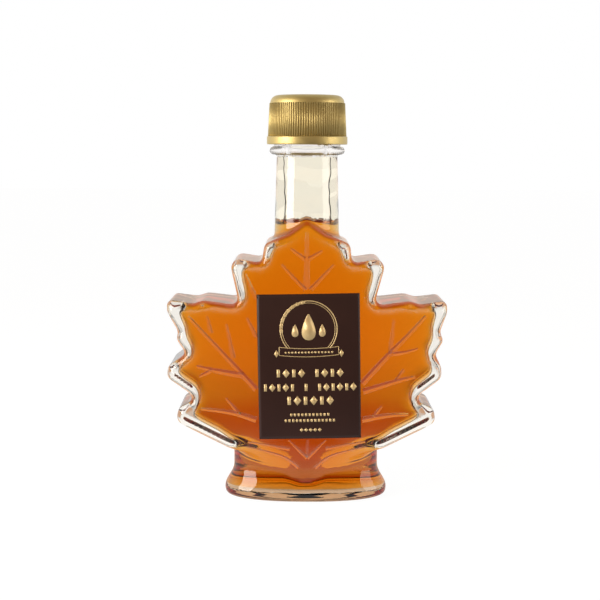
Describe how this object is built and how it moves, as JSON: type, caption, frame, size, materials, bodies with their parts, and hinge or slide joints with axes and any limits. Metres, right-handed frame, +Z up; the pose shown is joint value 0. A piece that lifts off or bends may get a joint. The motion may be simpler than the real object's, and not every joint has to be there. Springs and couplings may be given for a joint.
{
  "type": "leaf-shaped glass bottle of maple syrup",
  "caption": "Clear glass flask in the shape of a maple leaf, filled with amber syrup, with a ribbed gold screw cap and a dark brown front label.",
  "frame": {"origin": "middle of the foot's resting face", "axes": "+Z up through the neck to the cap, +X to the bottle's right lobes as seen from the front, the labelled front faces -Y"},
  "size_m": [0.09, 0.0301, 0.13],
  "materials": {
    "clear_glass": "clear, glossy, thick-walled",
    "amber_syrup": "clear amber liquid, darker where it is deeper",
    "gold_cap": "satin metallic gold, ribbed",
    "label_paper": "satin dark brown paper with gold foil shapes"
  },
  "bodies": {
    "root": {"bottle": "clear_glass", "syrup": "amber_syrup", "cap": "gold_cap", "label": "label_paper"}
  },
  "joints": []
}
